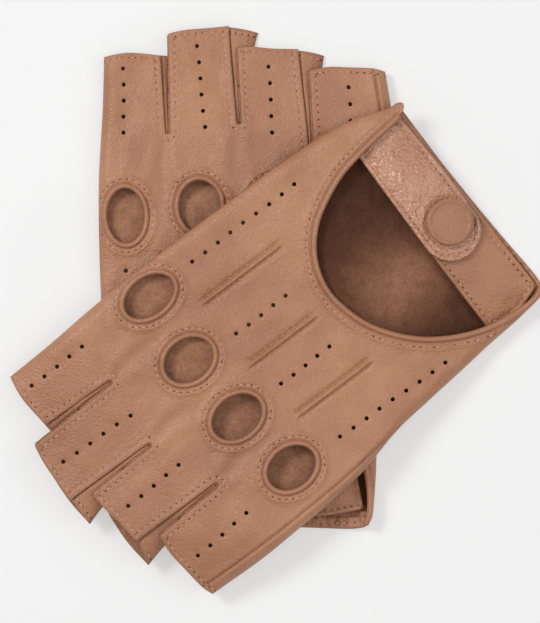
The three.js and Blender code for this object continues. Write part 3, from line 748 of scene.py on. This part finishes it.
def feature_points():
    """Extra points for the relief beside each binding, hem, raised point and fold."""
    rows = []
    for hole in KNUCKLES.values():
        for grow in (1.3, 1.6, 1.9, 2.2, 2.6, 3.0, 3.3, 3.6, 4.0, 4.4, 4.9):
            rows.append(ellipse(*hole, 84, grow))
    rows += offset_rows(APERTURE_LINE, (1.4, 1.8, 2.1, 2.4, 2.9, 3.3, 3.7, 4.1, 4.6, 5.1, 5.6))
    for lines, stitch in ((TIP_LINES.values(), TIP_HEM), (SLIT_LINES, HEM)):
        for line in lines:
            rows += [offset(line, -stitch - aside) for aside in (-0.4, 0, 0.4, 0.9)]
    for (u0, v0), (_, v1) in POINTS:
        for across in (0, 0.35, 0.7, 0.95, 1.15, 1.35, 1.8):
            for sign in (1, -1):
                v = np.arange(v1 - 1, v0 + 1.5)
                rows.append(np.column_stack([np.full(len(v), u0 + sign * across), v]))
    above = SEAM_LINE[SEAM_LINE[:, 1] > -14]
    for depth in (0, 0.3, 0.6, 1.1, 1.7):
        rows += offset_rows(above, (depth, -depth))
    rows += offset_rows(INDEX_LINE, (0.03, 0.5, 1.0, 1.7, 2.6, 3.5, 4.4))
    rows += offset_rows(BACK_PINKY_LINE, (0.03, 0.5, 1.0, 1.7, 2.6, 3.5, 4.4))
    for centre in PERFORATION_CENTRES:
        rows.append(ellipse(centre, (PERFORATION + 0.5,) * 2, 9))
    return rows


def make_back(glove):
    tips = list(TIP_LINES.values())
    fingertips = []
    for i, tip in enumerate(tips):
        fingertips.append(tip)
        if i < 3:
            fingertips.append(SLIT_LINES[i][1:-1])
    opening = offset(APERTURE_LINE, 0.9)
    outline = np.vstack([*fingertips, INDEX_LINE[::-1][1:], opening[::-1], BACK_PINKY_LINE[::-1][:-1]])
    holes = [ellipse(*hole, AROUND_HOLE, 0.9) for hole in KNUCKLES.values()]
    holes += [ellipse(centre, (PERFORATION,) * 2, 12) for centre in PERFORATION_CENTRES]
    flat, triangles = flat_mesh(outline, holes, feature_points(), 1.5, edge_rows=(0.12, 0.35, 0.75))
    top = back_top(glove)(flat)
    under = between_folds(flat, back_level(flat) - LEATHER)
    under = np.minimum(under, top - 0.05)
    made = sheet("back", glove, glove.body, flat, triangles, top, under, [NAPPA, SUEDE])
    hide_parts(f"{glove.side}_back_panel", f"{glove.side}_side_wrap")


def palm_outline(glove):
    parts = []
    for i, finger in enumerate(FINGERS.values()):
        (left, right), tip = finger["palm"], finger["palm_tip"][glove.side]
        start = [left, tip - PALM_CORNER] if i else FINGERS["pinky"]["tip"][0]
        end = [right, tip - 0.6] if i < 3 else FINGERS["index"]["tip"][-1]
        parts.append(curve([start, [(left + right) / 2, tip], end], 1.5))
        if i < 3:
            u, v = np.add(SLITS[i][2], PALM_SLIT)
            after = list(FINGERS.values())[i + 1]
            beyond = [after["palm"][0], after["palm_tip"][glove.side] - PALM_CORNER]
            down = resample(np.array([end, [u - 0.3, v]], float), 1.5)
            up = resample(np.array([[u + 0.3, v], beyond], float), 1.5)
            parts += [down[1:], up[:-1]]
    wrist = curve(WRIST, 1.5)
    return np.vstack([*parts, INDEX_LINE[::-1][1:-1], wrist[::-1], PINKY_LINE[::-1][1:-1]])


def palm_under(p):
    """The palm's outer side, on the table: gathered by elastic inside the wrist."""
    u, v = p.T
    fold = rounded(distance(p, *FOLDED) / (FOLD - 0.6))
    gathers = smooth((-60 - v) / 8) * smooth((36 - np.abs(u)) / 8)
    level = mix(side_level(p), thumb_raise(u, v), fold)
    return level + 0.35 * gathers * (1 + np.sin(2 * math.pi * u / 3.6 + 0.8 * np.sin(0.5 * v)))


def palm_top(p, seed):
    """The palm's inner side, seen through the opening and the holes."""
    return between_folds(p, palm_under(p) + LEATHER + 0.25 * wander(p, 14, seed), 0.02)


def palm_painted_shade(p):
    """Painted shade on the flesh side: dark round the rim of the opening, where the glove's inside lies in
    shadow, light in its middle.
    """
    u, v = p.T
    light = 0.2 + 0.72 * np.exp(-(((u + 5) / 14) ** 2) - ((v + 45) / 20) ** 2)
    return mix(mix(light, 1, smooth((v + 27) / 12)), 1, smooth((-76 - v) / 4))


def make_palm(glove):
    outline = palm_outline(glove)
    rows = [row for line in (INDEX_LINE, PINKY_LINE) for row in offset_rows(line, (0.03, 0.5, 1.2, 2.4, 3.8))]
    flat, triangles = flat_mesh(outline, [], rows, 2.2, edge_rows=(0.15, 0.5))
    under, top = palm_under(flat), palm_top(flat, glove.seed)
    open_edge = distance(flat, outline[outline[:, 1] > 44], curve(WRIST, 1.5))
    top = np.maximum(top - 0.35 * (1 - rounded(open_edge / 0.6)), under + 0.05)
    made = sheet("palm", glove, glove.body, flat, triangles, top, under, [SHADED_PALM_SUEDE, NAPPA])
    # Painted shade for the palm's suede, stored on its points.
    painted_shade = made.data.attributes.new("painted_shade", "FLOAT", "POINT")
    painted_shade.data.foreach_set("value", np.tile(palm_painted_shade(flat), 2))
    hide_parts(f"{glove.side}_palm_panel")


def make_fourchette(glove, first, second, end):
    """The strip between two fingers, from the back's edge down to the palm's: two walls and their turn."""
    a, b = FINGERS[first]["tip"][-1], FINGERS[second]["tip"][0]
    stations = []
    for (u, v), finger, edge, sign in ((a, FINGERS[first], 1, -1), (b, FINGERS[second], 0, 1)):
        palm_u, palm_tip = finger["palm"][edge], finger["palm_tip"][glove.side]
        foot_u = end[0] + (PALM_SLIT[0] if edge == 0 else -0.8)
        wall = []
        for t in np.linspace(0, 1, 26):
            along = mix(end[1] + 1.2, v - 0.5, t)
            low = mix(end[1] + 1.2, palm_tip - PALM_CORNER, t)
            wall.append(((mix(end[0] + sign * 0.8, u, t) - sign * 0.45, along),
                         (mix(foot_u, palm_u, t) + sign * 0.3, low), (sign, 0)))
        stations.append(wall)
    foot = []
    for t in np.linspace(0, math.pi, 9)[1:-1]:
        out = (-math.cos(t), -math.sin(t))
        at = (end[0] + 0.5 * out[0], end[1] + 1.0 + 0.5 * out[1])
        foot.append((at, at, out))
    path = stations[0][::-1] + foot + stations[1]
    rise = np.linspace(0, 1, 8)
    vertices = []
    tops = back_level(np.array([p[0] for p in path])) - LEATHER - WALL_GAP
    for (top, low, into), high in zip(path, tops):
        for side in (0, 1):
            for t in rise if side == 0 else rise[::-1]:
                puff = math.sin(math.pi * t) * (1 if abs(into[0]) > 0.9 else 0.4)
                shift = 0.7 * side - 0.6 * puff
                w = mix(WALL_FOOT, high, t) + (WALL_PUFF * puff - 0.5 * side)
                u, v = mix(low[0], top[0], t), mix(low[1], top[1], t)
                vertices.append((u + shift * into[0], v + shift * into[1], w))
    faces = capped_tube(len(path), 2 * len(rise))
    made = piece(f"fourchette_{first}_{second}", glove, glove.body, np.array(vertices), faces, [NAPPA])
    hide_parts(f"{glove.side}_fourchette_{first}_{second}")


def make_fourchette_stitches(glove):
    """The row of stitches across the end of each fourchette, where it shows beside a finger."""
    rows, walls = [], []
    for _, second, _ in SLITS[:2]:
        finger = FINGERS[second]
        corner = np.array(finger["tip"][0], float)
        low = np.array([finger["palm"][0], finger["palm_tip"][glove.side] - PALM_CORNER - TIP_HEM])
        high = np.array([corner[0], corner[1] - TIP_HEM - 0.5])
        rows.append(np.array([mix(low, high, 0.14), mix(low, high, 0.98)]))
        walls.append((low[0], high[0], back_level(corner[None])[0] - LEATHER - WALL_GAP))

    def level(p):
        out = np.zeros(len(p))
        for low_u, high_u, top in walls:
            t = (p[:, 0] - low_u) / (high_u - low_u)
            puffed = mix(WALL_FOOT, top, t) + WALL_PUFF * np.sin(math.pi * np.clip(t, 0, 1))
            out = np.where((t > -0.1) & (t < 1.1), puffed, out)
        return out

    stitches("fourchette_stitches", glove, glove.body, rows, level, lift=0.12)


def lip_section(width, height):
    """A rolled edge, as a loop of (outwards, up): its inner side is at 0."""
    a = np.linspace(0, 2 * math.pi, 14, endpoint=False)
    return [(width / 2 - width / 2 * math.cos(t), height * math.sin(t)) for t in a]


def make_bindings(glove):
    for name, hole in KNUCKLES.items():
        line = KNUCKLE_LINES[name][::-1]
        middle = ellipse(*hole, AROUND_HOLE, 1.0)[::-1]
        level = back_level(middle) + soft_shape(middle, glove.seed)
        path = np.column_stack([line, level - LIP_SUNK])
        section = [[(s, h + 0.06 * math.sin(1.7 * i + 2 * math.sin(0.9 * i)))
                    for s, h in lip_section(1.9, LIP_HEIGHT)] for i in range(AROUND_HOLE)]
        made = sweep(f"knuckle_binding_{name}", glove, glove.body, path, section, True, BINDING)
        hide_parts(f"{glove.side}_knuckle_binding_{name}")
    middle = offset(APERTURE_LINE, 1.0)
    level = back_level(middle) + soft_shape(middle, glove.seed)
    path = np.column_stack([APERTURE_LINE, level - LIP_SUNK])
    section = [[(s, h + 0.05 * math.sin(1.9 * i)) for s, h in lip_section(2.1, LIP_HEIGHT)]
               for i in range(len(path))]
    made = sweep("opening_binding", glove, glove.body, path, section, False, BINDING)
    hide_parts(f"{glove.side}_opening_binding")


def make_back_stitches(glove):
    rows = []
    tips = list(TIP_LINES.values())
    for lines, stitch in ((tips, TIP_HEM), (SLIT_LINES, HEM)):
        for line in lines:
            row = offset(line, -stitch)
            clear = (distance(row, *tips) > 0.9 * TIP_HEM) & (distance(row, *SLIT_LINES) > 0.9 * HEM)
            rows.append(row[clear])
    for hole in KNUCKLES.values():
        row = closed(ellipse(*hole, AROUND_HOLE, KNUCKLE_STITCH))
        rows.append(row[distance(row, INDEX_LINE) > 0.9])
    row = offset(APERTURE_LINE, APERTURE_STITCH)
    rows.append(row[(distance(row, INDEX_LINE, PINKY_LINE) > 1.6) & (row[:, 1] > -70)])
    stitches("back_stitches", glove, glove.body, rows, back_top(glove))
    rows = [np.array([(u0 + side, v0), (u0 + side, v1)]) for (u0, v0), (_, v1) in POINTS
            for side in (POINT_WIDTH / 2, -POINT_WIDTH / 2)]
    stitches("point_stitches", glove, glove.body, rows, back_top(glove), lift=-0.16)


# ---- Wrist: tab, strap and snap ----
def strap_level(u):
    return 4.45 + 2.35 * smooth((33 - u) / 17)


def strap_line():
    half = (STRAP["top"] - STRAP["bottom"]) / 2
    centre = (STRAP["tip"] + half, (STRAP["top"] + STRAP["bottom"]) / 2)
    turn = np.linspace(math.pi / 2, 3 * math.pi / 2, 28)
    tip = np.column_stack([centre[0] + half * np.cos(turn), centre[1] + half * np.sin(turn)])
    upper = curve([(42.5, -60.3), (20, -59.9), tip[0]])
    lower = curve([tip[-1], (20, -80.9), (38.5, -79.8), (41.5, -79.2)])
    return np.vstack([upper[:-1], tip, lower[1:]])


def band_relief(p, edge, stitch, seed):
    """A strap's rounded edges, its row of stitches and its soft dents."""
    d = distance(p, edge)
    u, v = p.T
    out = 0.2 * (1 - smooth((d - 1.2) / 0.9)) - 0.34 * bump(d - stitch, 0.5)
    out += 0.16 * bump(d - stitch, 1.2) * np.sin(2 * math.pi * (u + 0.6 * v) / 2.3)
    out += 0.6 * smooth((d - stitch) / 5)
    out -= 0.85 * (1 - rounded(d / 0.8))
    return out + 0.6 * wander(p, 12, seed) + 0.3 * wander(p, 4.5, seed + 2)


def make_layers(name, glove, body, line, flat, triangles, top, level, leather):
    """A leather face, whose outer side is at top, and the suede lining that it is sewn to."""
    edge = distance(flat, closed(line))
    seam = level - LINING
    under = np.minimum(seam + 0.12 * (1 - rounded(edge / 0.4)), top - 0.04)
    low = level - 1.95 + 0.4 * (1 - rounded(edge / 0.6))
    high = np.maximum(seam - 0.05, low + 0.03)
    face = sheet(f"{name}_face", glove, body, flat, triangles, top, under, [leather, SUEDE])
    lining = sheet(f"{name}_lining", glove, body, flat, triangles, high, low, [SUEDE, SUEDE])
    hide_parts(f"{glove.side}_{name}_lining")
    return face, lining


def snap_dish(p):
    """The strap is pressed down in a ring round the snap."""
    r = np.hypot(p[:, 0] - SNAP[0], p[:, 1] - SNAP[1])
    return -0.75 * bump(r - CAP_RADIUS - 0.2, 1.0) - 0.3 * (r < CAP_RADIUS)


def strap_top(glove):
    line = strap_line()

    def top(p):
        return strap_level(p[:, 0]) + band_relief(p, line, SEWN, glove.seed + 20) + snap_dish(p)

    return top


def make_strap(glove):
    line = strap_line()
    details = offset_rows(line, (1.3, 1.55, 1.8, 2.05, 2.3, -1.3, -1.8, -2.3))
    details += [ellipse(SNAP, (CAP_RADIUS + g,) * 2, 60) for g in (-0.5, 0.1, 0.5, 1.0, 1.6, 2.3)]
    flat, triangles = flat_mesh(line, [], details, 1.2, edge_rows=(0.1, 0.3, 0.6, 0.9))
    top = strap_top(glove)
    level = strap_level(flat[:, 0])
    face, lining = make_layers("strap", glove, None, line, flat, triangles, top(flat), level,
                               STRAP_LEATHER)
    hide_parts(f"{glove.side}_strap_face", f"{glove.side}_strap_root")
    row = inner_row(line, SEWN)
    sewn = stitches("strap_stitches", glove, None, [row[row[:, 0] < 40]], top)
    start, end = glove.point(39.5, -70, 5), glove.point(33.5, -70, 5)
    for made in (face, lining, *sewn):
        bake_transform(made)


def inner_row(loop, depth):
    """The row of points depth inside a closed or open outline."""
    for sign in (1, -1):
        moved = offset(loop, sign * depth)
        if inside(moved[len(moved) // 2: len(moved) // 2 + 1], loop)[0]:
            return moved[distance(moved, loop) > 0.9 * depth]
    return loop


def tab_line(glove):
    end, top = TAB["end"][glove.side], TAB["top"]
    upper = curve([(TAB["right"], top + 0.6), (-10, top + 0.8), (end[0][0] + 0.4, top + 0.4)])
    return np.vstack([upper, curve(end), curve(TAB["bottom"][glove.side])])


def tab_level(u):
    return 3.45 + 0.8 * smooth((u + 37) / 10)


def tab_top(glove):
    line = closed(tab_line(glove))
    return lambda p: tab_level(p[:, 0]) + band_relief(p, line, SEWN, glove.seed + 40)


def make_tab(glove):
    line = tab_line(glove)
    details = offset_rows(closed(line), (1.3, 1.55, 1.8, 2.05, 2.3))
    flat, triangles = flat_mesh(line, [], details, 1.4, edge_rows=(0.1, 0.3, 0.6, 0.9))
    top = tab_top(glove)
    level = tab_level(flat[:, 0])
    face, _ = make_layers("tab", glove, glove.body, line, flat, triangles, top(flat), level, NAPPA)
    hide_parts(f"{glove.side}_tab_face")
    row = inner_row(closed(line), SEWN)
    row = row[row[:, 0] < TAB["right"] - 2]
    rows = [part[np.argsort(part[:, 0])] for part in (row[row[:, 1] > -68], row[row[:, 1] < -76])]
    stitches("tab_stitches", glove, glove.body, rows, top)


def make_cap(glove):
    """The snap's cap, covered in leather that is drawn tight over a rounded rim."""
    base = strap_level(SNAP[0]) - 0.25
    crown = base + 2.75
    edge = [(CAP_RADIUS - 1.0 + 1.0 * math.cos(t), crown - 1.0 + 1.0 * math.sin(t)) for t in
            np.linspace(-0.9, math.pi / 2, 10)]
    top = [(r, crown - 0.32 * smooth((CAP_RADIUS - 1.1 - r) / 0.9)) for r in (6.9, 6.6, 6.3, 5.6, 4.0, 2.0)]
    profile = [(CAP_RADIUS - 1.6, base), (CAP_RADIUS - 0.5, base + 0.1), *edge, *top]
    count = 64
    vertices = [(SNAP[0] + r * math.cos(a), SNAP[1] + r * math.sin(a), w + 0.05 * math.sin(9 * a) * (r > 7))
                for r, w in profile for a in np.linspace(0, 2 * math.pi, count, endpoint=False)]
    faces = capped_tube(len(profile), count)
    made = piece("snap_cover", glove, glove.strap, np.array(vertices), faces, [BINDING])
    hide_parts(f"{glove.side}_snap_cap")


def make_wrist(glove):
    """The palm's turned hem along the wrist with its stitches, and the elastic that gathers it."""
    wrist = curve(WRIST + [[43.2, -82.9]], 1.0)
    fold = offset(wrist, 4.4)
    hem = np.vstack([offset(wrist, 0.3), fold[distance(fold, wrist) > 4.3][::-1]])
    clear = min(v for _, v in TAB["bottom"][glove.side][1:]) - 0.6
    strap = np.array([(-26, -67.6), (28, -67.6), (28, -63), (-26, -63)], float)
    strap = resample(closed(strap), 1.0)[:-1]

    def hem_top(p):
        u, v = p.T
        gathered = 1 - np.exp(-((np.sin(math.pi * (u + 0.9 * np.sin(0.7 * u)) / 4.3) / 0.3) ** 2))
        pleats = 0.85 * gathered * smooth((clear + 0.6 * np.abs(u + 18) / 18 - v) / 1.1)
        sunk = 0.3 * bump(distance(p, wrist) - WRIST_STITCH, 0.5)
        return palm_top(p, glove.seed) + HEM_THICK + pleats - sunk

    for name, loop, thick, material, slot in (
        ("wrist_hem", hem, HEM_THICK, NAPPA, "leather"),
        ("wrist_elastic", strap, 0.5, ELASTIC, "elastic"),
    ):
        flat, triangles = flat_mesh(loop, [], [], 0.5, edge_rows=(0.2,))
        top = hem_top(flat) if name == "wrist_hem" else palm_top(flat, glove.seed) + thick
        top = top - 0.35 * (1 - rounded(distance(flat, closed(loop)) / 0.5))
        sides = [material, material]
        made = sheet(name, glove, glove.body, flat, triangles, top, top - thick - 0.2, sides)
        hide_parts(f"{glove.side}_{name}")
    stitches("wrist_stitches", glove, glove.body, [offset(wrist, WRIST_STITCH)[2:-2]], hem_top)


# ---- Thumb ----
def thumb_line():
    (pu, pv), a = THUMB["pivot"], math.radians(THUMB["along"])
    length, base, mouth = THUMB["length"], THUMB["base"], THUMB["mouth"]
    guides = [(length, -mouth), (length * 0.55, -mouth - 1.4), (8, -base), (-6, -base * 0.8), (-12, 0),
              (-6, base * 0.8), (8, base), (length * 0.55, mouth + 1.4), (length, mouth)]
    end = [(length + 0.7, mouth / 2), (length + 0.9, 0), (length + 0.7, -mouth / 2)]
    line = np.vstack([curve(guides, 1.3), end])
    s, t = line.T
    return np.column_stack([pu + s * math.cos(a) - t * math.sin(a), pv + s * math.sin(a) + t * math.cos(a)])


def make_thumb(glove):
    line = thumb_line()
    sewn = line[:-3]
    rows = offset_rows(closed(line), (0.03, 0.5, 1.2, 2.2, 3.4))
    flat, triangles = flat_mesh(line, [], rows, 1.8, edge_rows=(0.2, 0.5))
    edge = distance(flat, sewn)
    mouth = distance(flat, line[-4:])
    crest = rounded(edge / 6)
    for name, middle, reach in (("thumb_upper", 1.35, 1.55), ("thumb_lower", 1.3, -0.95)):
        outer = middle + reach * np.maximum(crest, 0.12) * (1 - 0.12 * wander(flat, 9, glove.seed))
        inner = middle + (reach - math.copysign(0.9, reach)) * np.maximum(crest, 0.12) * smooth(edge / 4)
        outer = np.where(mouth < 0.5, mix(inner, outer, 0.5 + mouth), outer)
        high, low = (outer, inner) if reach > 0 else (inner, outer)
        low = np.maximum(low, 0.0)
        high = np.maximum(high, low + 0.03)
        faces = [NAPPA, SUEDE] if reach > 0 else [SUEDE, NAPPA]
        made = sheet(name, glove, glove.thumb, flat, triangles, high, low, faces)
        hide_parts(f"{glove.side}_{name}")


def make_metal(glove):
    for name in ("snap_stud", "stud_rivet", "snap_socket"):
        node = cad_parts[f"{glove.side}_{name}"]
        node.data.materials.clear()
        node.data.materials.append(BRASS)


# ---- Build ----
for glove in (RIGHT, LEFT):
    make_palm(glove)
    make_back(glove)
    for slit in SLITS:
        make_fourchette(glove, *slit)
    make_fourchette_stitches(glove)
    make_bindings(glove)
    make_back_stitches(glove)
    make_tab(glove)
    make_strap(glove)
    make_cap(glove)
    make_wrist(glove)
    make_thumb(glove)
    make_metal(glove)

# ---- Floor, light and camera ----
floor_mesh = bpy.data.meshes.new("floor")
floor_mesh.from_pydata([(-4, -4, 0), (4, -4, 0), (4, 4, 0), (-4, 4, 0)], [], [(0, 1, 2, 3)])
floor = bpy.data.objects.new("floor", floor_mesh)
floor.location.z = -0.0003
bpy.context.collection.objects.link(floor)
paper = Nodes("paper", Roughness=0.9, Specular_IOR_Level=0.1, Emission_Color=(1, 1, 1, 1),
              Emission_Strength=0.43)
paper.color(paper.ramp(paper.noise(30), (0.3, (0.45, 0.45, 0.45, 1)), (0.7, (0.46, 0.46, 0.46, 1))))
floor_mesh.materials.append(paper.material)

world = bpy.data.worlds.new("studio")
world.use_nodes = True
world.node_tree.nodes["Background"].inputs["Color"].default_value = (1, 1, 1, 1)
world.node_tree.nodes["Background"].inputs["Strength"].default_value = 0.37
bpy.context.scene.world = world
bpy.context.scene.view_settings.view_transform = "Standard"


def softbox(name, place, size, power):
    light = bpy.data.lights.new(name, "AREA")
    light.shape = "DISK"
    light.size = size
    light.energy = power
    made = bpy.data.objects.new(name, light)
    made.location = place
    made.rotation_euler = (-Vector(place)).to_track_quat("-Z", "Y").to_euler()
    bpy.context.collection.objects.link(made)


softbox("key", (-0.85, 0.55, 1.2), 0.5, 11.8)
softbox("top", (0.15, -0.1, 1.7), 1.5, 7)
softbox("fill", (1.0, 0.1, 1.0), 0.6, 3.0)

PICTURE_HEIGHT, PIXELS_A_MM = 623, 2.9  # the photo's
camera = bpy.data.cameras.new("camera")
camera.lens = 200
camera.sensor_width = 36
seen_height = PICTURE_HEIGHT / PIXELS_A_MM * MM
distance_up = seen_height * camera.lens / camera.sensor_width
viewer = bpy.data.objects.new("camera", camera)
viewer.location = ((RIGHT.x + 6.1) * MM, (RIGHT.y - 8.4) * MM, distance_up + 0.010)
bpy.context.collection.objects.link(viewer)
bpy.context.scene.camera = viewer
